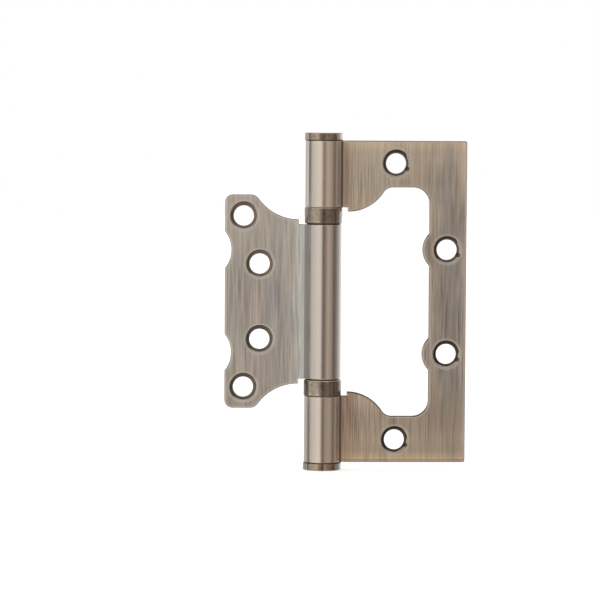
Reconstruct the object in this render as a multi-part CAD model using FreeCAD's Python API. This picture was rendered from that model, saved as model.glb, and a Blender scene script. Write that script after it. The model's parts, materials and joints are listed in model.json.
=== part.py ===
import FreeCAD, Part
import math
import os

from FreeCAD import Vector

# Non-mortise door hinge, open flat: a large frame leaf with a window, a small door
# leaf that folds into that window, one pin, two end caps and two thrust ball bearings.
#
# Frame: the origin is on the pin axis at mid height. +Z runs up the pin, +X towards
# the outer edge of the frame leaf, and -Y is the side of the countersunk faces.
# All lengths are in millimetres.

# Sheet and pin
sheet_thickness = 2.5
pin_diameter = 6.2
running_clearance = 0.05       # radial, between the pin and every knuckle bore
edge_round = 0.3               # brushed-down edges of the leaves, knuckles and caps

# Frame leaf
frame_leaf_height = 100.0
frame_leaf_reach = 44.5        # pin axis to the outer edge
frame_leaf_corner = 0.6        # radius of its two outer corners
rail_width = 14.4              # sheet above and below the window
stile_width = 11.5             # sheet beyond the window
end_knuckle_length = 20.7
lobe_radius = 13.0             # rounded lobes that carry the end knuckles
lobe_overhang = 1.3            # how far a lobe hangs past the face of its knuckle
bump_radius = 6.9              # bumps round the inner screw holes
bump_offset = 0.7              # a bump's centre is nearer the pin than its hole's
bump_blend = 0.6               # blend between a bump or recess and the straight edge
window_corner = 5.0
window_shoulder = 3.5          # hollow between a lobe and the window's end

# Door leaf, which follows the window at a distance
leaf_gap = 2.5
door_leaf_corner = 2.5
door_leaf_shoulder = 2.8
recess_radius = 9.3            # recesses that clear the bumps
recess_pitch = 31.9

# Rolled knuckles
root_radius = 2.75             # hollow where the sheet turns up into the roll
notch_margin = 0.25            # flat sheet between that hollow and the notch
seam_gap = 0.12                # slit that stays open where the roll closes on the sheet
tip_round = 0.4                # rounded outer corner of the closing edge

# Countersunk screw holes
hole_diameter = 6.3
countersink_diameter = 9.0
countersink_angle = 90.0       # full angle of the cone
frame_outer_hole_reach = 22.5  # pin axis to the holes near the knuckles
frame_outer_hole_margin = 7.0  # from the top and bottom edges of the leaf
frame_inner_hole_margin = 6.0  # from the outer edge of the leaf
frame_inner_hole_pitch = 32.5
door_outer_hole_side = 5.8     # from the outer edge of the door leaf
door_outer_hole_margin = 6.5   # from its top and bottom edges
door_inner_hole_side = 10.8
door_inner_hole_pitch = 23.4

# Caps on the two ends of the barrel
cap_thickness = 2.4
cap_proud = 0.25               # how far a cap stands out from the barrel
cap_spigot_length = 4.0

# Thrust bearings between the centre knuckle and the end knuckles
bearing_height = 5.3
shell_proud = 0.2              # how far a shell stands out from the barrel
shell_wall = 0.4
shell_gap = 0.3                # open slot between a shell and the centre knuckle
race_space = 1.4               # between the faces of the two races
race_bore_clearance = 0.15     # radial, between the races and the pin
frame_race_clearance = 0.05    # radial, between the fixed race and its shell
door_race_clearance = 0.2      # radial, between the turning race and the shell
ball_count = 10
ball_diameter = 1.6
ball_clearance = 0.05          # between a ball and its groove or pocket
retainer_thickness = 0.6
retainer_clearance = 0.15      # radial, to the pin and to the shell

# Sizes that follow from those above
half_sheet = sheet_thickness / 2
half_height = frame_leaf_height / 2
pin_radius = pin_diameter / 2
bore_radius = pin_radius + running_clearance
barrel_radius = bore_radius + sheet_thickness
end_face = half_height - end_knuckle_length
centre_face = end_face - bearing_height
pin_half_length = half_height - cap_spigot_length

window_half_height = half_height - rail_width
window_reach = frame_leaf_reach - stile_width
root_end = math.sqrt((barrel_radius + root_radius) ** 2 - (half_sheet + root_radius) ** 2)
leaf_start = root_end + notch_margin
lobe_centre_height = end_face - lobe_overhang + lobe_radius
inner_hole_reach = frame_leaf_reach - frame_inner_hole_margin
bump_reach = inner_hole_reach - bump_offset

shell_radius = barrel_radius + shell_proud
shell_bore = shell_radius - shell_wall
race_bore = pin_radius + race_bore_clearance
frame_race_radius = shell_bore - frame_race_clearance
door_race_radius = shell_bore - door_race_clearance
race_thickness = (bearing_height - shell_wall - race_space) / 2
orbit_radius = (race_bore + door_race_radius) / 2
orbit_height = centre_face + race_thickness + race_space / 2
groove_radius = ball_diameter / 2 + ball_clearance

ORIGIN = Vector(0, 0, 0)
UP = Vector(0, 0, 1)


# Drawing helpers

def line(start, end):
    return Part.LineSegment(start, end).toShape()


def arc(place, centre, radius, first_angle, last_angle):
    """Arc in the plane that place(u, v) gives; the angles are in degrees from u to v."""
    points = []
    for angle in (first_angle, (first_angle + last_angle) / 2, last_angle):
        turn = math.radians(angle)
        points.append(place(centre[0] + radius * math.cos(turn),
                            centre[1] + radius * math.sin(turn)))
    return Part.Arc(*points).toShape()


def face_of(edges):
    return Part.Face(Part.Wire(Part.sortEdges(edges)[0]))


def on_leaf(x, z):
    """Point on the -Y face of a leaf that lies along +X."""
    return Vector(x, -half_sheet, z)


def on_section(x, y):
    """Point in a section across the pin."""
    return Vector(x, y, 0)


def on_meridian(r, z):
    """Point in a half section that holds the pin axis."""
    return Vector(r, 0, z)


def turned(edges):
    """Solid of revolution about the pin axis."""
    return face_of(edges).revolve(ORIGIN, UP, 360)


def angle_from(centre, point):
    return math.degrees(math.atan2(point[1] - centre[1], point[0] - centre[0]))


def closed_run(points):
    """Straight edges from each point to the next and back to the first."""
    return [line(a, b) for a, b in zip(points, points[1:] + points[:1])]


# Leaves

def window_side(inset, shoulder, corner, bump, pitch):
    """Edges of the window, drawn inwards by inset, from one knuckle round to the other.

    With no inset they bound the window of the frame leaf, and drawn in by the leaf gap
    they bound the door leaf. The shoulders beside the lobes, the corners and the bumps
    have radii of their own on each leaf, and pitch is from bump to bump.
    """
    top = window_half_height - inset
    reach = window_reach - inset
    lobe = lobe_radius + inset

    lobe_centre = (leaf_start, lobe_centre_height)
    shoulder_drop = lobe_centre_height - (top - shoulder)
    shoulder_run = math.sqrt((lobe + shoulder) ** 2 - shoulder_drop ** 2)
    shoulder_centre = (leaf_start + shoulder_run, top - shoulder)
    shoulder_angle = angle_from(lobe_centre, shoulder_centre)

    bump_centre = (bump_reach, pitch / 2)
    blend_back = bump_reach - reach + bump_blend
    blend_rise = math.sqrt((bump + bump_blend) ** 2 - blend_back ** 2)
    upper_blend = (reach - bump_blend, pitch / 2 + blend_rise)
    lower_blend = (reach - bump_blend, pitch / 2 - blend_rise)
    blend_angle = angle_from(bump_centre, upper_blend)

    upper_half = [
        arc(on_leaf, lobe_centre, lobe, -90, shoulder_angle),
        arc(on_leaf, shoulder_centre, shoulder, shoulder_angle + 180, 90),
        line(on_leaf(shoulder_centre[0], top), on_leaf(reach - corner, top)),
        arc(on_leaf, (reach - corner, top - corner), corner, 90, 0),
        line(on_leaf(reach, top - corner), on_leaf(reach, upper_blend[1])),
        arc(on_leaf, upper_blend, bump_blend, 0, blend_angle - 180),
        arc(on_leaf, bump_centre, bump, blend_angle, 360 - blend_angle),
        arc(on_leaf, lower_blend, bump_blend, 180 - blend_angle, 0),
        line(on_leaf(reach, lower_blend[1]), on_leaf(reach, 0)),
    ]
    return upper_half + [edge.mirror(ORIGIN, UP) for edge in upper_half]


def sheet(edges):
    """Flat blank with softened edges, apart from where it runs on into its knuckles."""
    blank = face_of(edges).extrude(Vector(0, sheet_thickness, 0)).removeSplitter()
    rim = [edge for edge in blank.Edges
           if edge.BoundBox.YLength < edge_round
           and edge.BoundBox.XMax > leaf_start + edge_round]
    return blank.makeFillet(edge_round, rim)


def frame_blank():
    mouth = lobe_centre_height - lobe_radius
    corner = frame_leaf_corner
    upper_half = [
        line(on_leaf(leaf_start, mouth), on_leaf(leaf_start, half_height)),
        line(on_leaf(leaf_start, half_height),
             on_leaf(frame_leaf_reach - corner, half_height)),
        arc(on_leaf, (frame_leaf_reach - corner, half_height - corner), corner, 90, 0),
        line(on_leaf(frame_leaf_reach, half_height - corner), on_leaf(frame_leaf_reach, 0)),
    ]
    outside = upper_half + [edge.mirror(ORIGIN, UP) for edge in upper_half]
    inside = window_side(0, window_shoulder, window_corner, bump_radius,
                         frame_inner_hole_pitch)
    return sheet(outside + inside)


def door_blank():
    mouth = lobe_centre_height - lobe_radius - leaf_gap
    root = line(on_leaf(leaf_start, -mouth), on_leaf(leaf_start, mouth))
    outside = window_side(leaf_gap, door_leaf_shoulder, door_leaf_corner, recess_radius,
                          recess_pitch)
    return sheet([root] + outside)


def knuckle(bottom, top):
    """Sheet rolled round the pin, with the leaf along +X and the seam on the -Y side."""
    tip_drop = half_sheet + tip_round
    tip_centre = (math.sqrt((barrel_radius - tip_round) ** 2 - tip_drop ** 2), -tip_drop)
    tip_angle = angle_from((0, 0), tip_centre)
    root_centre = (root_end, half_sheet + root_radius)
    root_angle = angle_from((0, 0), root_centre)

    # The roll closes flush with the face of the leaf, over a shallow step in the sheet.
    step_level = half_sheet - seam_gap
    step_start = math.sqrt(barrel_radius ** 2 - half_sheet ** 2)
    step_end = math.sqrt(bore_radius ** 2 - step_level ** 2)
    tip_end = math.sqrt(bore_radius ** 2 - half_sheet ** 2)
    bore_start = angle_from((0, 0), (step_end, -step_level))
    bore_stop = angle_from((0, 0), (tip_end, -half_sheet)) + 360

    section = [
        arc(on_section, (0, 0), bore_radius, bore_start, bore_stop),
        line(on_section(tip_end, -half_sheet), on_section(tip_centre[0], -half_sheet)),
        arc(on_section, tip_centre, tip_round, 90, tip_angle),
        arc(on_section, (0, 0), barrel_radius, tip_angle, root_angle - 360),
        arc(on_section, root_centre, root_radius, root_angle + 180, 270),
        line(on_section(root_end, half_sheet), on_section(leaf_start, half_sheet)),
        line(on_section(leaf_start, half_sheet), on_section(leaf_start, -half_sheet)),
        line(on_section(leaf_start, -half_sheet), on_section(step_start, -half_sheet)),
        line(on_section(step_start, -half_sheet), on_section(step_start, -step_level)),
        line(on_section(step_start, -step_level), on_section(step_end, -step_level)),
    ]
    roll = face_of(section).extrude(Vector(0, 0, top - bottom))
    roll = roll.makeFillet(edge_round, [edge for edge in roll.Edges if is_knuckle_rim(edge)])
    roll.translate(Vector(0, 0, bottom))
    return roll


def is_knuckle_rim(edge):
    """True for the outer edges of a knuckle's end faces, which are softened."""
    box = edge.BoundBox
    if box.ZLength > edge_round or box.XLength < edge_round:
        return False
    middle = edge.valueAt((edge.FirstParameter + edge.LastParameter) / 2)
    return math.hypot(middle.x, middle.y) > barrel_radius - tip_round


def screw_hole(x, z, open_side):
    """Cutter for a countersunk hole; open_side is the Y direction that the head faces."""
    depth = (countersink_diameter - hole_diameter) / 2
    depth = depth / math.tan(math.radians(countersink_angle / 2))
    outward = Vector(0, open_side, 0)
    surface = Vector(x, open_side * half_sheet, z)
    shank = Part.makeCylinder(hole_diameter / 2, 2 * sheet_thickness,
                              surface + outward * half_sheet, outward * -1)
    head = Part.makeCone(countersink_diameter / 2, hole_diameter / 2, depth,
                         surface, outward * -1)
    return shank.fuse(head)


def drilled(leaf, places, open_side):
    """Leaf with a hole at each place and at its mirror place below mid height."""
    for x, z in places:
        for side in (1, -1):
            leaf = leaf.cut(screw_hole(x, side * z, open_side))
    return leaf


def frame_leaf():
    leaf = frame_blank()
    leaf = leaf.fuse([knuckle(end_face, half_height), knuckle(-half_height, -end_face)])
    places = [
        (frame_outer_hole_reach, half_height - frame_outer_hole_margin),
        (inner_hole_reach, frame_inner_hole_pitch / 2),
    ]
    return drilled(leaf.removeSplitter(), places, -1)


def door_leaf():
    """Drawn folded into the window, where its heads face the back, then opened flat."""
    leaf = door_blank().fuse(knuckle(-centre_face, centre_face)).removeSplitter()
    reach = window_reach - leaf_gap
    top = window_half_height - leaf_gap
    places = [
        (reach - door_outer_hole_side, top - door_outer_hole_margin),
        (reach - door_inner_hole_side, door_inner_hole_pitch / 2),
    ]
    leaf = drilled(leaf, places, 1)
    leaf.rotate(ORIGIN, UP, 180)
    return leaf


# Pin and caps

def hinge_pin():
    end = edge_round
    corners = [
        on_meridian(0, -pin_half_length),
        on_meridian(pin_radius - end, -pin_half_length),
        on_meridian(pin_radius, end - pin_half_length),
        on_meridian(pin_radius, pin_half_length - end),
        on_meridian(pin_radius - end, pin_half_length),
        on_meridian(0, pin_half_length),
    ]
    return turned(closed_run(corners))


def top_cap():
    """Flat button whose spigot closes the bore and meets the end of the pin."""
    radius = barrel_radius + cap_proud
    top = half_height + cap_thickness
    inner = radius - edge_round
    return turned([
        line(on_meridian(0, pin_half_length), on_meridian(pin_radius, pin_half_length)),
        line(on_meridian(pin_radius, pin_half_length), on_meridian(pin_radius, half_height)),
        line(on_meridian(pin_radius, half_height), on_meridian(inner, half_height)),
        arc(on_meridian, (inner, half_height + edge_round), edge_round, -90, 0),
        line(on_meridian(radius, half_height + edge_round),
             on_meridian(radius, top - edge_round)),
        arc(on_meridian, (inner, top - edge_round), edge_round, 0, 90),
        line(on_meridian(inner, top), on_meridian(0, top)),
        line(on_meridian(0, top), on_meridian(0, pin_half_length)),
    ])


# Bearing pieces, drawn for the upper bearing; the lower one mirrors them

def bearing_shell():
    """Cup whose floor lies on the end knuckle and whose rim covers the races."""
    rim = centre_face + shell_gap
    floor = end_face - shell_wall
    inner = shell_radius - edge_round
    return turned([
        line(on_meridian(race_bore, end_face), on_meridian(inner, end_face)),
        arc(on_meridian, (inner, end_face - edge_round), edge_round, 90, 0),
        line(on_meridian(shell_radius, end_face - edge_round),
             on_meridian(shell_radius, rim + edge_round)),
        arc(on_meridian, (inner, rim + edge_round), edge_round, 0, -90),
        line(on_meridian(inner, rim), on_meridian(shell_bore, rim)),
        line(on_meridian(shell_bore, rim), on_meridian(shell_bore, floor)),
        line(on_meridian(shell_bore, floor), on_meridian(race_bore, floor)),
        line(on_meridian(race_bore, floor), on_meridian(race_bore, end_face)),
    ])


def race(radius, back, side):
    """Washer with a ball groove; back is its flat face, side the way the groove looks."""
    face = back + side * race_thickness
    groove_half = math.sqrt(groove_radius ** 2 - (race_space / 2) ** 2)
    groove_floor = orbit_height - side * groove_radius
    start = on_meridian(orbit_radius - groove_half, face)
    end = on_meridian(orbit_radius + groove_half, face)
    groove = Part.Arc(start, on_meridian(orbit_radius, groove_floor), end).toShape()
    return turned([
        line(on_meridian(race_bore, back), on_meridian(race_bore, face)),
        line(on_meridian(race_bore, face), start),
        groove,
        line(end, on_meridian(radius, face)),
        line(on_meridian(radius, face), on_meridian(radius, back)),
        line(on_meridian(radius, back), on_meridian(race_bore, back)),
    ])


def ball_places():
    """Centres of the balls, evenly round the pin."""
    places = []
    for number in range(ball_count):
        turn = 2 * math.pi * number / ball_count
        places.append(Vector(orbit_radius * math.cos(turn),
                             orbit_radius * math.sin(turn), orbit_height))
    return places


def retainer():
    """Flat ring with one round pocket for each ball."""
    base = Vector(0, 0, orbit_height - retainer_thickness / 2)
    outside = shell_bore - retainer_clearance
    inside = pin_radius + retainer_clearance
    ring = Part.makeCylinder(outside, retainer_thickness, base)
    ring = ring.cut(Part.makeCylinder(inside, retainer_thickness, base))
    for place in ball_places():
        pocket_base = Vector(place.x, place.y, base.z)
        ring = ring.cut(Part.makeCylinder(groove_radius, retainer_thickness, pocket_base))
    return ring


def bearing():
    """Pieces of the upper bearing by name."""
    pieces = {
        "shell": bearing_shell(),
        "frame_race": race(frame_race_radius, end_face - shell_wall, -1),
        "door_race": race(door_race_radius, centre_face, 1),
        "retainer": retainer(),
    }
    for number, place in enumerate(ball_places(), start=1):
        pieces["ball_%02d" % number] = Part.makeSphere(ball_diameter / 2, place)
    return pieces


# Assembly

def hinge():
    """Every piece of the hinge by name."""
    pieces = {
        "frame_leaf": frame_leaf(),
        "door_leaf": door_leaf(),
        "hinge_pin": hinge_pin(),
        "top_cap": top_cap(),
        "bottom_cap": top_cap().mirror(ORIGIN, UP),
    }
    for name, shape in bearing().items():
        pieces["upper_" + name] = shape
        pieces["lower_" + name] = shape.mirror(ORIGIN, UP)
    return pieces


os.makedirs("parts", exist_ok=True)
for name, shape in hinge().items():
    shape.exportStep("parts/%s.step" % name)
    print("%-18s %9.2f mm3" % (name, shape.Volume))
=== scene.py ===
import json
import math

import bpy
from mathutils import Matrix, Vector


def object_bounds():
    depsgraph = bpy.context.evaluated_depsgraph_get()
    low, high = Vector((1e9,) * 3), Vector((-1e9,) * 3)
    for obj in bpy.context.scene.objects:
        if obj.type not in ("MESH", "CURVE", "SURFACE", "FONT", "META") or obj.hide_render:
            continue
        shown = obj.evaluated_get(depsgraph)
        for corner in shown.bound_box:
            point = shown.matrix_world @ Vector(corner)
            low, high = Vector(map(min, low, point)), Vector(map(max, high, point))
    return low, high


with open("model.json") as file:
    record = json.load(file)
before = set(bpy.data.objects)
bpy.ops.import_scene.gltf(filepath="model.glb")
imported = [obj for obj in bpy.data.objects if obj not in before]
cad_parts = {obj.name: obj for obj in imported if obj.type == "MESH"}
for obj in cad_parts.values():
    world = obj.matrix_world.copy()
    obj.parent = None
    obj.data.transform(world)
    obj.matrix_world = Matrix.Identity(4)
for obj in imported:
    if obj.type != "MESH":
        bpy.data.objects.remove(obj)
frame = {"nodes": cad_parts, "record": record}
cad_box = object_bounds()

# A door hinge in brushed antique bronze, open flat and upright in front of white.
# The pin stands along Z, the frame leaf reaches along +X, the door leaf along -X, and the
# countersunk faces look towards -Y. Lengths are in metres, except that names ending in
# _MM and all places within the hinge's materials are in millimetres.
MM = 0.001
WHITE = (1.0, 1.0, 1.0)

# Camera: a long lens a metre away, a little to the left of the hinge and above it
CAMERA_DISTANCE = 1.0
CAMERA_TARGET = Vector((-0.0072, -0.00125, 0.0005))
CAMERA_AZIMUTH = math.radians(-3.0)
CAMERA_ELEVATION = math.radians(3.0)
CAMERA_ROLL = math.radians(0.37)
CAMERA_LENS_MM = 193.4
SENSOR_MM = 36.0
CLIP_NEAR = 0.05
CLIP_FAR = 20.0

# Studio: one curved screen round the object, lit in upright bands. Each stop is an azimuth
# in degrees and a light, where 0 is straight in front and 90 is on the frame leaf's side.
SCREEN_RADIUS = 1.3
SCREEN_HALF_HEIGHT = 1.3
SCREEN_STEP_DEG = 3.0
SCREEN_STOPS = (
    (-179.0, (0.72, 0.72, 0.73)),
    (-112.0, (0.66, 0.65, 0.66)),
    (-107.0, (0.10, 0.08, 0.07)),
    (-94.0, (0.10, 0.08, 0.07)),
    (-89.0, (0.70, 0.68, 0.67)),
    (-62.0, (0.82, 0.79, 0.78)),
    (-30.0, (1.00, 0.97, 0.93)),
    (-13.0, (1.00, 0.96, 0.86)),
    (-8.0, (0.19, 0.165, 0.14)),
    (5.0, (0.19, 0.165, 0.14)),
    (13.0, (0.64, 0.62, 0.59)),
    (28.0, (0.64, 0.62, 0.59)),
    (58.0, (0.40, 0.38, 0.36)),
    (66.0, (0.16, 0.13, 0.12)),
    (76.0, (0.16, 0.13, 0.12)),
    (82.0, (0.48, 0.45, 0.43)),
    (92.0, (0.42, 0.40, 0.38)),
    (104.0, (0.33, 0.31, 0.30)),
    (134.0, (0.88, 0.87, 0.86)),
    (179.0, (1.00, 1.00, 1.00)),
)
SEEN_WORLD = 1.0
UNSEEN_WORLD = 0.8
FLOOR_HALF_WIDTH = 3.0
FLOOR_GLOW = 0.55

# Screw holes as (distance from the pin axis, height above and below the middle)
FRAME_HOLES_MM = ((22.5, 43.0), (38.5, 16.25))
DOOR_HOLES_MM = ((24.7, 26.6), (19.7, 11.7))
HOLE_RADIUS_MM = 3.15
COUNTERSINK_RADIUS_MM = 4.5

# The barrel's surface ends and the leaves begin at these distances from the pin axis
BARREL_END_MM = 5.75
LEAF_START_MM = 5.95

# The leaves' faces stand this far from the middle of their sheet, which is at Y = 0
FACE_DEPTH_MM = 1.25
LEAF_BOTTOM_MM = -50.0

# Edges are burnished, and painted with highlights, about as far in as a rounding of this
# radius would reach
BURNISH_HIGHLIGHT_RADIUS_MM = 1.1


# Shader graphs

class Graph:
    """Adds and links the nodes of one material or world."""

    def __init__(self, owner):
        owner.use_nodes = True
        self.owner = owner
        self.tree = owner.node_tree
        self.tree.nodes.clear()

    def add(self, kind, inputs=None, **settings):
        node = self.tree.nodes.new("ShaderNode" + kind)
        for name, value in settings.items():
            setattr(node, name, value)
        for name, value in (inputs or {}).items():
            self.feed(node.inputs[name], value)
        return node

    def feed(self, socket, value):
        if isinstance(value, bpy.types.NodeSocket):
            self.tree.links.new(value, socket)
        elif socket.type == "RGBA" and len(value) == 3:
            socket.default_value = (*value, 1.0)
        else:
            socket.default_value = value

    def feed_in_order(self, node, values):
        for socket, value in zip(node.inputs, values):
            self.feed(socket, value)

    def math(self, operation, *values):
        node = self.add("Math", operation=operation)
        self.feed_in_order(node, values)
        return node.outputs[0]

    def fold(self, operation, values):
        """One number from several, by an operation on two at a time."""
        result = values[0]
        for value in values[1:]:
            result = self.math(operation, result, value)
        return result

    def times(self, *values):
        return self.fold("MULTIPLY", values)

    def plus(self, *values):
        return self.fold("ADD", values)

    def largest(self, *values):
        return self.fold("MAXIMUM", values)

    def length(self, first, second):
        """Hypotenuse of two numbers."""
        squares = self.plus(self.times(first, first), self.times(second, second))
        return self.math("SQRT", squares)

    def smooth(self, value, low, high):
        """0 at low and 1 at high, with a soft step between; low may be the larger."""
        node = self.add("MapRange", interpolation_type="SMOOTHSTEP")
        self.feed_in_order(node, (value, low, high, 0.0, 1.0))
        return node.outputs[0]

    def band(self, value, low, full, fade, high):
        """1 between full and fade, falling softly to 0 at low and high."""
        return self.times(self.smooth(value, low, full), self.smooth(value, high, fade))

    def level(self, mask, low, high):
        """Turns a mask from 0 to 1 into a number from low to high."""
        node = self.add("MapRange")
        self.feed_in_order(node, (mask, 0.0, 1.0, low, high))
        return node.outputs[0]

    def vector(self, x, y, z):
        return self.add("CombineXYZ", {"X": x, "Y": y, "Z": z}).outputs[0]

    def split(self, vector):
        """The three numbers of a vector."""
        return self.add("SeparateXYZ", {"Vector": vector}).outputs

    def vector_math(self, operation, first, second):
        node = self.add("VectorMath", operation=operation)
        self.feed_in_order(node, (first, second))
        return node.outputs

    def scaled(self, vector, factor):
        node = self.add("VectorMath", operation="SCALE")
        self.feed(node.inputs[0], vector)
        self.feed(node.inputs["Scale"], factor)
        return node.outputs[0]

    def noise(self, vector, scale, detail=3.0, roughness=0.55):
        node = self.add("TexNoise", {"Vector": vector, "Scale": scale, "Detail": detail,
                                     "Roughness": roughness})
        return node.outputs["Fac"]

    def mix(self, factor, first, second, blend="MIX"):
        node = self.add("Mix", data_type="RGBA", blend_type=blend)
        self.feed(node.inputs[0], factor)
        self.feed(node.inputs[6], first)
        self.feed(node.inputs[7], second)
        return node.outputs[2]

    def cover(self, colour, tone, *masks):
        """The tone in place of the colour, as far as all masks let it through."""
        return self.mix(self.times(*masks), colour, tone)

    def tint(self, colour, factors, *masks):
        """The colour times the factors, as far as all masks let them through."""
        return self.mix(self.times(*masks), colour, factors, "MULTIPLY")

    def finish(self, shader, output="OutputMaterial"):
        self.tree.links.new(shader, self.add(output).inputs["Surface"])
        return self.owner


def material_graph(name):
    return Graph(bpy.data.materials.new(name))


class Place:
    """Where a shaded point is on the hinge, in millimetres, and how its surface faces."""

    def __init__(self, graph):
        coords = graph.add("TexCoord").outputs
        self.point = graph.scaled(coords["Object"], 1 / MM)
        self.x, self.y, self.z = graph.split(self.point)
        self.reach = graph.math("ABSOLUTE", self.x)
        self.depth = graph.math("ABSOLUTE", self.y)
        self.height = graph.math("ABSOLUTE", self.z)
        self.radius = graph.length(self.x, self.y)
        self.normal_x, normal_y, self.normal_z = graph.split(coords["Normal"])
        self.face_y = graph.math("ABSOLUTE", normal_y)
        self.face_z = graph.math("ABSOLUTE", self.normal_z)

        # Masks: above and below the hinge's mid height, and on a round part's upright wall
        self.above = graph.smooth(self.z, -1.0, 1.0)
        self.below = graph.smooth(self.z, 1.0, -1.0)
        self.wall = graph.smooth(self.face_z, 0.7, 0.4)


def edge_turn(graph, radius_mm):
    """How far the surface would turn were its edges rounded to the radius.

    Gives the cosine of the turn, and how far up the turned surface looks.
    """
    rounded = graph.add("Bevel", {"Radius": radius_mm * MM}, samples=6).outputs[0]
    normal = graph.add("NewGeometry").outputs["Normal"]
    cosine = graph.vector_math("DOT_PRODUCT", rounded, normal)["Value"]
    return cosine, graph.split(rounded)[2]


class LeafPlace(Place):
    """A point on a leaf, with the masks that tell the leaf's surfaces apart."""

    def __init__(self, graph):
        super().__init__(graph)
        self.barrel = graph.smooth(self.radius, LEAF_START_MM, BARREL_END_MM)
        self.flat = graph.smooth(self.radius, LEAF_START_MM, LEAF_START_MM + 0.4)
        self.front_half = graph.smooth(self.y, 0.0, -0.5)
        self.off_back = graph.smooth(self.y, FACE_DEPTH_MM - 0.05, FACE_DEPTH_MM - 0.15)

        # The hollow by the barrel, where the sheet turns up into the roll, is no edge
        self.hollow = graph.times(
            graph.smooth(self.depth, FACE_DEPTH_MM + 0.01, FACE_DEPTH_MM + 0.12),
            graph.smooth(self.radius, BARREL_END_MM, LEAF_START_MM))
        self.on_sheet = graph.times(
            self.flat, graph.smooth(self.depth, FACE_DEPTH_MM + 0.03, FACE_DEPTH_MM + 0.01))
        self.turn, self.turned_up = edge_turn(graph, BURNISH_HIGHLIGHT_RADIUS_MM)


def hole_distance(graph, reach, height, holes):
    """From a point at reach and height to the middle of the nearest hole."""
    distances = [graph.length(graph.plus(reach, -hole_reach), graph.plus(height, -hole_height))
                 for hole_reach, hole_height in holes]
    return graph.fold("MINIMUM", distances)


def metal_shader(graph, colour, rough, relief, strength, depth_mm, **brushing):
    """Bare metal with a fine relief."""
    bump = graph.add("Bump", {"Strength": strength, "Distance": depth_mm * MM,
                              "Height": relief})
    shader = graph.add("BsdfPrincipled", {
        "Base Color": colour, "Metallic": 1.0, "Roughness": rough,
        "Normal": bump.outputs[0], **brushing})
    return graph.finish(shader.outputs[0])


# Brushing

def streaks(graph, place, across, along, detail):
    """Brush marks that run up the hinge, as columns of noise.

    Across and along are how often the noise changes per millimetre.
    """
    vector = graph.vector(graph.times(place.x, across), graph.times(place.y, across),
                          graph.times(place.z, along))
    return graph.noise(vector, scale=1.0, detail=detail)


def brush_contrast(graph, place, upper, lower):
    """Strength of the marks, from upper to lower down the leaf.

    They are weaker near the leaf's ends and on the frame's low stile.
    """
    low_stile = graph.times(graph.smooth(place.x, 20.0, 26.0),
                            graph.smooth(place.z, -20.0, -27.0))
    return graph.times(graph.level(graph.smooth(place.z, 20.0, 8.0), upper, lower),
                       graph.level(graph.smooth(place.height, 40.5, 45.0), 1.0, 0.72),
                       graph.level(low_stile, 1.0, 0.70))


def brushed(graph, place, metal, contrast):
    """Brush marks over a colour, with the drift in hue that the plating has.

    Gives the colour, the fine marks alone, and the marks of all widths.
    """
    fine = streaks(graph, place, across=3.0, along=0.09, detail=3.0)
    middle = streaks(graph, place, across=1.1, along=0.05, detail=2.0)
    broad = streaks(graph, place, across=0.22, along=0.035, detail=1.0)
    marks = graph.plus(graph.times(fine, 0.54), graph.times(middle, 0.30),
                       graph.times(broad, 0.16))
    hue = streaks(graph, place, across=0.55, along=0.05, detail=1.0)
    rosy = graph.smooth(hue, 0.52, 0.70)
    greenish = graph.smooth(hue, 0.48, 0.32)
    metal = graph.tint(metal, (1.0, 0.965, 0.955), rosy)
    metal = graph.tint(metal, (0.965, 0.99, 0.975), greenish)
    shade = graph.plus(graph.times(graph.plus(marks, -0.5), 2.0, contrast), 1.0)
    return graph.scaled(metal, shade), fine, marks


def round_tangent(graph):
    """Level direction along the surface, square to the brush marks, or X where it is level."""
    normal = graph.add("NewGeometry").outputs["Normal"]
    sideways = graph.vector_math("CROSS_PRODUCT", normal, (0.0, 0.0, 1.0))[0]
    return graph.vector_math("ADD", sideways, (0.01, 0.0, 0.0))[0]


# Colour fields of the leaves, with painted shade and painted highlights near their edges

def rail_field(graph, place, metal):
    """Painted shade beside the seam and pale past it, painted highlights towards the top and
    bottom edges and where the lobes end towards the middle, and pale on the upper lobe.
    """
    x, z = place.x, place.z
    metal = graph.tint(metal, (0.79, 0.70, 0.66), graph.smooth(x, 10.5, 6.5))
    metal = graph.tint(metal, (1.06, 1.05, 1.02), graph.band(x, 9.0, 11.0, 14.0, 18.0))
    # Painted highlights towards the top and bottom edges, as rounded edges would catch
    metal = graph.tint(metal, (1.22, 1.18, 1.13), graph.smooth(z, 46.0, 49.5))
    metal = graph.tint(metal, (1.08, 1.11, 1.08), graph.smooth(z, -38.5, -42.5))
    metal = graph.tint(metal, (1.25, 1.25, 1.13), graph.smooth(z, -46.0, -48.5))

    upper_lobe = graph.times(graph.smooth(x, 31.0, 19.0), graph.smooth(z, 20.0, 34.0))
    metal = graph.tint(metal, (1.09, 1.10, 1.09), upper_lobe)
    # Painted highlight where the lobes end towards the middle
    lobe_foot = graph.times(graph.smooth(x, 26.0, 22.0),
                            graph.smooth(place.height, 36.0, 30.0))
    metal = graph.tint(metal, (1.22, 1.15, 1.10), lobe_foot)

    window_corner = graph.times(graph.band(x, 29.0, 33.0, 40.0, 44.0),
                                graph.band(z, 34.0, 38.0, 41.5, 45.0))
    metal = graph.tint(metal, (0.90, 0.88, 0.89), window_corner)
    top_corner = graph.times(graph.smooth(x, 37.0, 43.0), graph.smooth(z, 46.0, 49.0))
    metal = graph.tint(metal, (1.02, 0.95, 0.95), top_corner)
    low_corner = graph.times(graph.smooth(x, 38.0, 42.0), graph.smooth(z, -38.0, -46.0))
    metal = graph.tint(metal, (0.93, 0.94, 0.95), low_corner)
    ruddy_streak = graph.times(graph.band(x, 7.9, 8.5, 9.6, 10.4),
                               graph.band(z, -43.0, -40.0, -34.0, -31.5))
    return graph.tint(metal, (1.02, 0.91, 0.86), ruddy_streak)


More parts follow.
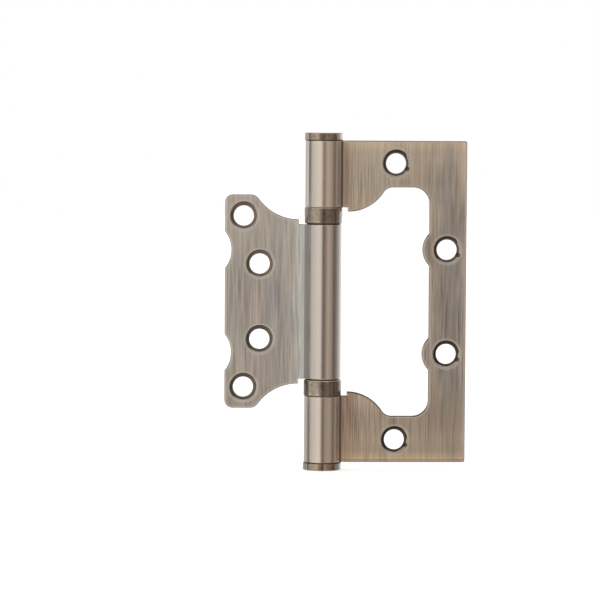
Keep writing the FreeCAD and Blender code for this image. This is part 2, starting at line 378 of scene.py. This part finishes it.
def stile_field(graph, place, metal):
    """Painted highlights along both sides, with a darker middle that is greyer near the top.
    """
    x, z = place.x, place.z
    metal = graph.tint(metal, (0.89, 0.91, 0.93), graph.band(x, 36.0, 38.2, 40.5, 43.0))
    darker_patch = graph.times(graph.band(x, 33.5, 36.5, 38.5, 40.8),
                         graph.band(z, 28.0, 32.0, 37.0, 42.0))
    metal = graph.tint(metal, (0.90, 0.92, 0.96), darker_patch)

    # Painted highlights along the stile's inner side and the upper part of its outer side
    stile = graph.times(graph.smooth(x, 25.0, 29.0), graph.smooth(place.height, 33.0, 26.0))
    metal = graph.tint(metal, (1.17, 1.12, 1.07), graph.smooth(x, 39.0, 36.2), stile)
    metal = graph.tint(metal, (1.33, 1.30, 1.28), graph.smooth(x, 32.4, 30.6), stile)
    outer_side = graph.times(graph.smooth(x, 40.0, 43.5), graph.smooth(z, -22.0, -4.0))
    return graph.tint(metal, (1.12, 1.12, 1.08), outer_side)


def frame_field(graph, place):
    """Warm and pale on the rails, darker and greyer along the stile."""
    metal = graph.mix(graph.smooth(place.z, 14.0, 48.0), (0.485, 0.43, 0.392),
                      (0.70, 0.595, 0.485))
    metal = graph.cover(metal, (0.60, 0.468, 0.378), graph.smooth(place.z, -16.0, -46.0))
    metal = rail_field(graph, place, metal)
    return stile_field(graph, place, metal)


def door_field(graph, place):
    """Even and cool, paler towards the barrel, the top and the upper outer edge."""
    reach, z = place.reach, place.z
    metal = graph.mix(graph.smooth(reach, 19.0, 10.5), (0.64, 0.582, 0.535),
                      (0.675, 0.63, 0.585))
    metal = graph.cover(metal, (0.82, 0.785, 0.745), graph.smooth(reach, 11.0, 7.5))
    upper = graph.times(graph.smooth(z, 2.0, 26.0), graph.smooth(reach, 8.0, 13.0))
    metal = graph.tint(metal, (1.14, 1.14, 1.12), upper)
    metal = graph.tint(metal, (0.96, 0.95, 0.94), graph.smooth(z, -6.0, -22.0))
    outer = graph.times(graph.smooth(reach, 27.0, 30.3), graph.smooth(z, -10.0, 15.0))
    metal = graph.tint(metal, (1.13, 1.14, 1.11), outer)
    darker_patch = graph.times(graph.band(reach, 11.4, 12.6, 14.6, 16.2),
                         graph.smooth(z, -18.0, -8.0))
    metal = graph.tint(metal, (0.91, 0.91, 0.92), darker_patch)
    cool = graph.times(graph.band(reach, 12.5, 14.0, 17.0, 19.0),
                       graph.band(z, -8.0, -4.0, 4.0, 8.0))
    return graph.tint(metal, (0.94, 0.95, 1.0), cool)


# Wear, painted reflections, painted highlights and painted shade of the leaves and their
# knuckles

def polished_barrel(graph, place, metal, polish):
    """Knuckles buffed to the polish's tone, with a painted browner reflection right of the
    middle.
    """
    metal = graph.cover(metal, polish, place.barrel, 0.9)
    # Painted reflection: a browner band right of the middle
    return graph.tint(metal, (1.0, 0.905, 0.83), graph.band(place.x, -0.9, 0.4, 3.1, 4.0),
                      place.barrel)


def frame_knuckle_reflections(graph, place, metal):
    """Painted reflections: pale on the right, and a bright line on the left of the upper
    knuckle.
    """
    metal = graph.cover(metal, (0.94, 0.92, 0.92), graph.smooth(place.x, 4.5, 5.1),
                        place.barrel, 0.85)
    return graph.tint(metal, (1.34, 1.37, 1.40),
                      graph.band(place.x, -5.45, -5.15, -4.8, -4.6), place.barrel,
                      graph.smooth(place.z, 0.0, 10.0))


def door_knuckle_reflections(graph, place, metal):
    """Painted shade beside the leaf, painted dark reflections along two lines, and a painted
    highlight on the right.
    """
    x, barrel = place.x, place.barrel
    metal = graph.cover(metal, (0.40, 0.385, 0.35), graph.band(x, -7.5, -5.7, -5.0, -3.7),
                        barrel, place.front_half)
    metal = graph.tint(metal, (0.74, 0.72, 0.70), graph.band(x, -1.0, -0.2, 0.5, 1.3), barrel)
    metal = graph.tint(metal, (0.74, 0.76, 0.82), graph.band(x, 2.9, 3.3, 3.7, 4.0), barrel)
    return graph.tint(metal, (1.20, 1.26, 1.37), graph.smooth(x, 3.9, 4.3), barrel)


def hollow_painted_reflection(graph, place, metal):
    """The hollow is painted a cool grey, as the reflection its turned-up surface shows."""
    return graph.cover(metal, (0.470, 0.492, 0.497), place.hollow)


def door_hollow_lines(graph, place, metal):
    """A painted highlight line in the hollow, with a gap above the middle, and painted shade
    at its foot.
    """
    line = graph.times(graph.band(place.x, -6.6, -6.4, -6.15, -5.95), place.hollow)
    ends = graph.largest(graph.smooth(place.z, 4.0, -4.0), graph.smooth(place.z, 14.0, 20.0))
    metal = graph.tint(metal, (1.18, 1.17, 1.12), line, ends)
    foot = graph.smooth(place.x, -5.95, -5.72)
    return graph.cover(metal, (0.29, 0.28, 0.26), foot, place.hollow)


def burnish_highlight_lines(graph, place, metal, burnish_highlight):
    """A burnished line on the faces along every edge, partly a painted highlight of the
    rounding.
    """
    return graph.cover(metal, burnish_highlight, graph.smooth(place.turn, 0.9997, 0.985),
                       place.on_sheet, 0.85)


def dark_lobe_line(graph, place, metal):
    """Plating left dark along the edge of the lower lobe that looks up."""
    lower_lobe = (graph.smooth(place.x, 20.5, 18.5), graph.smooth(place.z, -18.0, -20.0))
    return graph.cover(metal, (0.13, 0.10, 0.075), graph.smooth(place.turned_up, 0.12, 0.30),
                       place.on_sheet, *lower_lobe, 0.8)


def plated_edges(graph, place, metal, rounded, cut, side):
    """Edges in their own tones.

    Rounded and cut are for the rounding and the flat cut of the edges that look up or
    down, where the plating is dark. Side is for the edges that look sideways.
    """
    edge = graph.times(graph.smooth(place.face_y, 0.995, 0.90), place.on_sheet)
    in_plane = graph.plus(graph.length(place.normal_x, place.normal_z), 0.001)
    steepness = graph.math("DIVIDE", place.face_z, in_plane)
    level_edge = graph.mix(graph.smooth(place.face_y, 0.30, 0.10), rounded, cut)
    tone = graph.mix(graph.smooth(steepness, 0.25, 0.70), side, level_edge)
    return graph.cover(metal, tone, edge)


def knuckle_ends(graph, place, metal):
    """A burnished rim, partly a painted highlight, and an end face painted dark as the shade
    in the gaps between the parts.
    """
    near_pin = graph.smooth(place.radius, 7.2, 6.6)
    rim = graph.times(graph.band(place.face_z, 0.10, 0.30, 0.55, 0.75), near_pin)
    metal = graph.cover(metal, (0.74, 0.66, 0.55), rim, 0.6)
    end_face = graph.times(graph.smooth(place.face_z, 0.60, 0.85), near_pin)
    return graph.cover(metal, (0.07, 0.05, 0.035), end_face)


def ring_tone(graph, place, ring, distance):
    """Lighter in the upper holes and along the lip of the hole, and on the right as a painted
    highlight of the lit wall.
    """
    tone = graph.tint(ring, (1.30, 1.30, 1.30), place.above)
    tone = graph.tint(tone, (1.55, 1.50, 1.45), graph.smooth(place.normal_x, -0.10, -0.60))
    lip = graph.smooth(distance, HOLE_RADIUS_MM + 0.60, HOLE_RADIUS_MM + 0.23)
    return graph.cover(tone, (0.34, 0.30, 0.26), lip, graph.level(place.above, 0.25, 0.55))


def dark_countersinks(graph, place, metal, holes, burnish_highlight, ring, dark_end, lit_end):
    """Plating left dark inside the countersinks, with a burnished ring outside it.

    The dark ring ends at the radius dark_end; as painted shade it reaches a little further
    out at the top, and as painted light it stops further in at the bottom. On the right,
    and lower down in the lower holes, the cone's wall is painted lit in the leaf's tone and
    the ring ends at lit_end. Gives the colour and the mask of the dark ring.
    """
    distance = hole_distance(graph, place.reach, place.height, holes)
    # Painted light and shade on the cone: lit on the right and at the bottom, shaded at the
    # top
    facing_lit = graph.plus(
        graph.times(place.normal_x, graph.level(place.above, -0.80, -0.99)),
        graph.times(place.normal_z, graph.level(place.above, 0.55, 0.12)))
    lit_wall = graph.smooth(facing_lit, 0.44, 0.60)
    top_side = graph.smooth(place.normal_z, -0.35, -0.62)
    low_side = graph.smooth(place.normal_z, 0.40, 0.64)
    ring_end = graph.plus(graph.level(lit_wall, dark_end, lit_end), graph.times(top_side, 0.2),
                          graph.times(low_side, graph.level(lit_wall, -0.28, -0.10)))
    beyond = graph.math("SUBTRACT", distance, ring_end)

    # A burnished ring round each countersink, partly a painted highlight
    halo = graph.times(graph.smooth(beyond, -0.1, 0.12),
                       graph.smooth(distance, COUNTERSINK_RADIUS_MM + 0.10,
                                    COUNTERSINK_RADIUS_MM - 0.15), place.off_back)
    metal = graph.cover(metal, burnish_highlight, halo, graph.level(lit_wall, 0.8, 0.65),
                        graph.level(low_side, 1.0, 0.75))
    inside = graph.smooth(beyond, 0.15, -0.15)
    tone = ring_tone(graph, place, ring, distance)
    return graph.cover(metal, tone, inside, place.off_back), inside


def painted_shadow_spots(graph, place, metal, tone):
    """A painted dark shadow spot to the right of each frame hole and a little below its
    middle.
    """
    beside = 3.35
    below = 1.6
    height = graph.plus(place.height, graph.times(graph.math("SIGN", place.z), below))
    distance = hole_distance(graph, graph.plus(place.reach, -beside), height, FRAME_HOLES_MM)
    return graph.cover(metal, tone, graph.smooth(distance, 0.88, 0.55), place.off_back, 0.85)


def dark_seam(graph, place, metal):
    """Dark line in front, where the roll closes beside the frame leaf: patina in the joint and
    painted shade.
    """
    return graph.cover(metal, (0.145, 0.10, 0.078), graph.band(place.x, 5.15, 5.4, 5.75, 6.1),
                       place.front_half, 0.90)


def low_edge_lines(graph, place, metal):
    """A darker line along the frame leaf's lower edge, and a painted gleam above it."""
    dark_line = [LEAF_BOTTOM_MM + up for up in (0.25, 0.50, 0.85, 1.15)]
    gleam = [LEAF_BOTTOM_MM + up for up in (1.00, 1.15, 1.40, 1.60)]
    metal = graph.tint(metal, (0.85, 0.78, 0.75), graph.band(place.z, *dark_line), place.flat)
    return graph.tint(metal, (1.12, 1.07, 1.08), graph.band(place.z, *gleam), place.flat)


def darker_low_knuckle(graph, place, metal):
    """The lower frame knuckle is darker than the upper one down its middle."""
    return graph.tint(metal, (0.80, 0.79, 0.77), graph.smooth(place.z, -28.0, -30.0),
                      place.barrel, graph.band(place.x, -1.2, -0.2, 1.0, 2.2))


def leaf_shader(graph, place, metal, fine, marks, dark_ring):
    """Smooth on the barrel, brushed on the leaf, and dullest in the dark rings."""
    rough = graph.plus(graph.level(place.barrel, 0.38, 0.22), graph.times(fine, 0.06),
                       graph.times(dark_ring, 0.2))
    relief = graph.plus(graph.times(fine, graph.level(place.barrel, 1.0, 0.15)),
                        graph.times(marks, 0.4))
    return metal_shader(graph, metal, rough, relief, strength=0.5, depth_mm=0.006,
                        Anisotropic=0.4, Tangent=round_tangent(graph))


# Materials of the leaves

def frame_bronze():
    """Brushed antique bronze of the frame leaf and its two knuckles."""
    burnish_highlight = (0.90, 0.78, 0.66)
    ring = (0.065, 0.048, 0.036)
    graph = material_graph("frame_bronze_brushed")
    place = LeafPlace(graph)
    contrast = brush_contrast(graph, place, upper=1.0, lower=1.45)
    metal, fine, marks = brushed(graph, place, frame_field(graph, place), contrast)
    metal = polished_barrel(graph, place, metal, (0.685, 0.62, 0.55))
    metal = frame_knuckle_reflections(graph, place, metal)
    metal = hollow_painted_reflection(graph, place, metal)
    metal = burnish_highlight_lines(graph, place, metal, burnish_highlight)
    metal = dark_lobe_line(graph, place, metal)
    metal = plated_edges(graph, place, metal, rounded=(0.060, 0.043, 0.034),
                         cut=(0.20, 0.165, 0.13), side=(0.45, 0.40, 0.34))
    metal = knuckle_ends(graph, place, metal)
    metal, dark_ring = dark_countersinks(graph, place, metal, FRAME_HOLES_MM, burnish_highlight, ring,
                                         dark_end=4.08, lit_end=3.72)
    metal = painted_shadow_spots(graph, place, metal, ring)
    metal = dark_seam(graph, place, metal)
    metal = low_edge_lines(graph, place, metal)
    metal = darker_low_knuckle(graph, place, metal)
    return leaf_shader(graph, place, metal, fine, marks, dark_ring)


def door_bronze():
    """Brushed antique bronze of the door leaf and its knuckle."""
    burnish_highlight = (0.98, 0.89, 0.77)
    ring = (0.165, 0.135, 0.112)
    graph = material_graph("door_bronze_brushed")
    place = LeafPlace(graph)
    contrast = brush_contrast(graph, place, upper=0.75, lower=1.05)
    metal, fine, marks = brushed(graph, place, door_field(graph, place), contrast)
    metal = polished_barrel(graph, place, metal, (0.615, 0.558, 0.505))
    metal = door_knuckle_reflections(graph, place, metal)
    metal = hollow_painted_reflection(graph, place, metal)
    metal = door_hollow_lines(graph, place, metal)
    metal = burnish_highlight_lines(graph, place, metal, burnish_highlight)
    metal = plated_edges(graph, place, metal, rounded=(0.14, 0.13, 0.11),
                         cut=(0.25, 0.23, 0.20), side=(0.50, 0.47, 0.42))
    metal = knuckle_ends(graph, place, metal)
    metal, dark_ring = dark_countersinks(graph, place, metal, DOOR_HOLES_MM, burnish_highlight, ring,
                                         dark_end=4.20, lit_end=4.05)
    return leaf_shader(graph, place, metal, fine, marks, dark_ring)


# Materials of the round parts

def painted_reflection_bands(graph, place, metal, bands, half=1.0):
    """Tints upright bands of a round part's wall as painted reflections, where the mask half
    is 1.

    Each band has the x where it starts, is full, fades and has ended, and its factors.
    """
    for low, full, fade, high, factors in bands:
        metal = graph.tint(metal, factors, graph.band(place.x, low, full, fade, high),
                           place.wall, half)
    return metal


def cap_painted_reflections(graph, place, metal):
    """Painted reflections: pale on the left and right, dark left of the middle; the bottom cap
    is browner.
    """
    right = graph.mix(place.below, (0.98, 0.94, 0.90), (0.52, 0.48, 0.45))
    metal = graph.cover(metal, (0.74, 0.69, 0.65), graph.smooth(place.x, -3.9, -5.6),
                        place.wall, 0.8)
    metal = graph.cover(metal, right, graph.smooth(place.x, 3.2, 4.8), place.wall, 0.8)
    metal = painted_reflection_bands(graph, place, metal, (
        (-5.3, -5.0, -4.5, -4.2, (1.45, 1.47, 1.49)),
        (-2.1, -1.05, -0.85, -0.45, (0.58, 0.55, 0.53)),
        (0.2, 0.8, 3.4, 4.2, (0.80, 0.76, 0.73)),
        (2.6, 2.9, 3.2, 3.5, (1.45, 1.40, 1.38))))
    metal = painted_reflection_bands(graph, place, metal, (
        (-6.4, -6.2, -5.1, -4.8, (0.78, 0.77, 0.77)),
        (-2.6, -1.3, -0.85, -0.4, (0.62, 0.60, 0.60)),
        (0.3, 0.8, 1.1, 2.4, (0.78, 0.77, 0.78))), place.above)
    return painted_reflection_bands(graph, place, metal, (
        (-6.6, -6.3, -5.2, -4.9, (0.54, 0.54, 0.55)),
        (-4.6, -4.2, -3.4, -2.4, (1.22, 1.22, 1.14)),
        (-1.2, -0.2, 3.4, 4.4, (0.95, 0.90, 0.82)),
        (0.15, 0.4, 0.8, 1.05, (1.45, 1.40, 1.32))), place.below)


def bearing_painted_reflections(graph, place, metal):
    """Painted reflections: dark right of the middle and at the left, most on the lower one,
    with a painted highlight line on each shell.
    """
    metal = graph.cover(metal, (0.62, 0.56, 0.50), graph.smooth(place.reach, 3.9, 5.6), 0.8)
    metal = painted_reflection_bands(graph, place, metal, (
        (-1.9, -1.1, -0.7, -0.3, (0.62, 0.60, 0.60)),
        (-0.3, -0.1, 0.1, 0.4, (1.25, 1.25, 1.22)),
        (-1.2, 0.4, 3.4, 4.6, (0.57, 0.51, 0.51)),
        (2.4, 2.8, 3.2, 3.6, (1.60, 1.58, 1.56))))
    # Painted highlight lines, one on each shell
    painted_gleam = graph.largest(graph.band(place.z, 24.6, 24.8, 25.1, 25.4),
                             graph.band(place.z, -29.0, -28.85, -28.6, -28.35))
    metal = graph.tint(metal, (1.16, 1.17, 1.16), painted_gleam)
    metal = painted_reflection_bands(graph, place, metal, (
        (-6.2, -5.8, -5.2, -4.9, (0.62, 0.60, 0.60)),), place.above)
    return painted_reflection_bands(graph, place, metal, (
        (-6.4, -5.9, -5.0, -4.55, (0.27, 0.26, 0.24)),
        (-4.65, -4.4, -4.1, -3.8, (1.68, 1.66, 1.55)),
        (3.5, 4.1, 6.6, 7.0, (0.62, 0.62, 0.62))), place.below)


def mottled_bronze(name, pale, deep, rims, painted_reflections=None, mirrored=True):
    """Dark antique bronze for the caps, the bearing shells and the retainers.

    Rims are the tones of the edges that look away from and towards the hinge's mid
    height or, where the part isn't mirrored, of those that look up and down. On the caps
    and bearing shells they are a painted highlight and painted shade.
    """
    graph = material_graph(name)
    place = Place(graph)
    blotches = graph.noise(place.point, scale=0.8)
    grain = graph.noise(place.point, scale=3.2, detail=2.0, roughness=0.5)
    mask = graph.plus(graph.times(blotches, 0.6), graph.times(grain, 0.4))
    metal = graph.mix(graph.smooth(mask, 0.34, 0.66), deep, pale)
    if painted_reflections:
        metal = painted_reflections(graph, place, metal)
    facing = place.normal_z
    if mirrored:
        facing = graph.times(facing, graph.math("SIGN", place.z))
    # The rims of the caps and shells: a painted highlight one way, painted shade the other
    for side, rim in zip((1.0, -1.0), rims):
        turned = graph.times(facing, side)
        metal = graph.cover(metal, rim, graph.band(turned, 0.1, 0.35, 0.8, 0.98))
    rough = graph.level(grain, 0.15, 0.27)
    return metal_shader(graph, metal, rough, mask, strength=0.15, depth_mm=0.012)


def cap_bronze():
    return mottled_bronze("cap_bronze_mottled", pale=(0.49, 0.40, 0.325),
                          deep=(0.32, 0.25, 0.19),
                          rims=((0.52, 0.44, 0.37), (0.12, 0.08, 0.055)), painted_reflections=cap_painted_reflections)


def bearing_bronze():
    return mottled_bronze("bearing_bronze_mottled", pale=(0.48, 0.405, 0.335),
                          deep=(0.29, 0.24, 0.19),
                          rims=((0.56, 0.47, 0.33), (0.13, 0.105, 0.075)),
                          painted_reflections=bearing_painted_reflections, mirrored=False)


def retainer_brass():
    return mottled_bronze("retainer_brass_stamped", pale=(0.76, 0.61, 0.32),
                          deep=(0.58, 0.44, 0.20),
                          rims=((0.80, 0.67, 0.40), (0.80, 0.67, 0.40)))


def ground_steel(name, pale, deep, roughness):
    """Steel with fine turned rings, for the pin, the races and the balls."""
    rings_per_mm = 6.0
    graph = material_graph(name)
    place = Place(graph)
    section = graph.vector(graph.times(place.radius, rings_per_mm), 0.0,
                           graph.times(place.z, rings_per_mm))
    rings = graph.noise(section, scale=1.0, detail=4.0)
    film = graph.noise(place.point, scale=0.7)
    metal = graph.mix(graph.smooth(film, 0.35, 0.65), deep, pale)
    rough = graph.level(rings, *roughness)
    return metal_shader(graph, metal, rough, rings, strength=0.3, depth_mm=0.004)


def pin_steel():
    return ground_steel("pin_steel_ground", pale=(0.64, 0.63, 0.61),
                        deep=(0.52, 0.51, 0.49), roughness=(0.25, 0.40))


def race_steel():
    """Painted near black, as the shade in the slots beside the bearing shells."""
    return ground_steel("race_steel_painted_shade", pale=(0.12, 0.10, 0.08),
                        deep=(0.07, 0.055, 0.04), roughness=(0.30, 0.45))


def ball_steel():
    return ground_steel("ball_steel_polished", pale=(0.82, 0.82, 0.81),
                        deep=(0.74, 0.74, 0.73), roughness=(0.04, 0.10))


# The record's material slots
SLOTS = {
    "frame_bronze": frame_bronze,
    "door_bronze": door_bronze,
    "cap_bronze": cap_bronze,
    "bearing_bronze": bearing_bronze,
    "pin_steel": pin_steel,
    "race_steel": race_steel,
    "ball_steel": ball_steel,
    "retainer_brass": retainer_brass,
}


def dress_hinge():
    """Gives every CAD node the material of its slot."""
    materials = {slot: make() for slot, make in SLOTS.items()}
    for part in frame["record"]["subparts"]:
        piece = frame["nodes"][part["node"]]
        for slot in piece.material_slots:
            slot.material = materials[part["material_slot"]]


# Studio

def link_mesh(name, points, faces, material):
    mesh = bpy.data.meshes.new(name)
    mesh.from_pydata(points, [], faces)
    mesh.materials.append(material)
    piece = bpy.data.objects.new(name, mesh)
    bpy.context.scene.collection.objects.link(piece)
    return piece


def make_camera():
    camera = bpy.data.cameras.new("camera")
    camera.lens = CAMERA_LENS_MM
    camera.sensor_width = SENSOR_MM
    camera.clip_start = CLIP_NEAR
    camera.clip_end = CLIP_FAR
    seat = bpy.data.objects.new("camera", camera)
    bpy.context.scene.collection.objects.link(seat)
    level = math.cos(CAMERA_ELEVATION)
    back = Vector((math.sin(CAMERA_AZIMUTH) * level, -math.cos(CAMERA_AZIMUTH) * level,
                   math.sin(CAMERA_ELEVATION)))
    turn = back.to_track_quat("Z", "Y").to_matrix().to_4x4()
    roll = Matrix.Rotation(CAMERA_ROLL, 4, "Z")
    seat.matrix_world = (Matrix.Translation(CAMERA_TARGET + back * CAMERA_DISTANCE)
                         @ turn @ roll)
    bpy.context.scene.camera = seat


def is_seen(graph):
    """1 for rays that show what they hit: from the camera, a mirror or a glass."""
    path = graph.add("LightPath").outputs
    return graph.largest(path["Is Camera Ray"], path["Is Glossy Ray"],
                         path["Is Transmission Ray"])


def make_world():
    """White all round, as it is seen, and a little lower as light."""
    graph = Graph(bpy.data.worlds.new("studio"))
    strength = graph.level(is_seen(graph), UNSEEN_WORLD, SEEN_WORLD)
    background = graph.add("Background", {"Color": WHITE, "Strength": strength})
    bpy.context.scene.world = graph.finish(background.outputs[0], "OutputWorld")


def floor_paint():
    """Pale paint that shows white, except where the object shades it."""
    graph = material_graph("floor_paint")
    grain = graph.noise(graph.add("TexCoord").outputs["Object"], scale=40.0)
    paint = graph.add("BsdfDiffuse", {
        "Color": graph.mix(grain, (0.80, 0.80, 0.79), (0.84, 0.84, 0.83))})
    glow = graph.add("Emission", {
        "Color": WHITE, "Strength": graph.times(is_seen(graph), FLOOR_GLOW)})
    both = graph.add("AddShader")
    graph.feed_in_order(both, (paint.outputs[0], glow.outputs[0]))
    return graph.finish(both.outputs[0])


def make_floor():
    half = FLOOR_HALF_WIDTH
    level = cad_box[0].z
    corners = [(-half, -half, level), (half, -half, level), (half, half, level),
               (-half, half, level)]
    floor = link_mesh("floor", corners, [(0, 1, 2, 3)], floor_paint())
    floor.visible_glossy = False


def screen_light():
    """Emission that follows the azimuth round the object by the screen's stops."""
    graph = material_graph("screen_light")
    place = Place(graph)
    azimuth = graph.math("ARCTAN2", place.x, graph.times(place.y, -1.0))
    share = graph.plus(graph.times(azimuth, 0.5 / math.pi), 0.5)
    ramp = graph.add("ValToRGB", {"Fac": share})
    elements = ramp.color_ramp.elements
    while len(elements) < len(SCREEN_STOPS):
        elements.new(1.0)
    for element, (degrees, light) in zip(elements, SCREEN_STOPS):
        element.position = degrees / 360.0 + 0.5
        element.color = (*light, 1.0)
    glow = graph.add("Emission", {"Color": ramp.outputs["Color"], "Strength": 1.0})
    return graph.finish(glow.outputs[0])


def make_screen():
    """Upright curved screen, seen only in the metal's reflections."""
    first, last = SCREEN_STOPS[0][0], SCREEN_STOPS[-1][0]
    steps = round((last - first) / SCREEN_STEP_DEG)
    points = []
    for number in range(steps + 1):
        azimuth = math.radians(first + (last - first) * number / steps)
        x = SCREEN_RADIUS * math.sin(azimuth)
        y = -SCREEN_RADIUS * math.cos(azimuth)
        points += [(x, y, -SCREEN_HALF_HEIGHT), (x, y, SCREEN_HALF_HEIGHT)]
    faces = [(2 * n, 2 * n + 2, 2 * n + 3, 2 * n + 1) for n in range(steps)]
    screen = link_mesh("screen", points, faces, screen_light())
    screen.visible_camera = False
    screen.visible_diffuse = False
    screen.visible_shadow = False


make_camera()
make_world()
make_floor()
make_screen()
dress_hinge()
bpy.context.scene.view_settings.view_transform = "Standard"
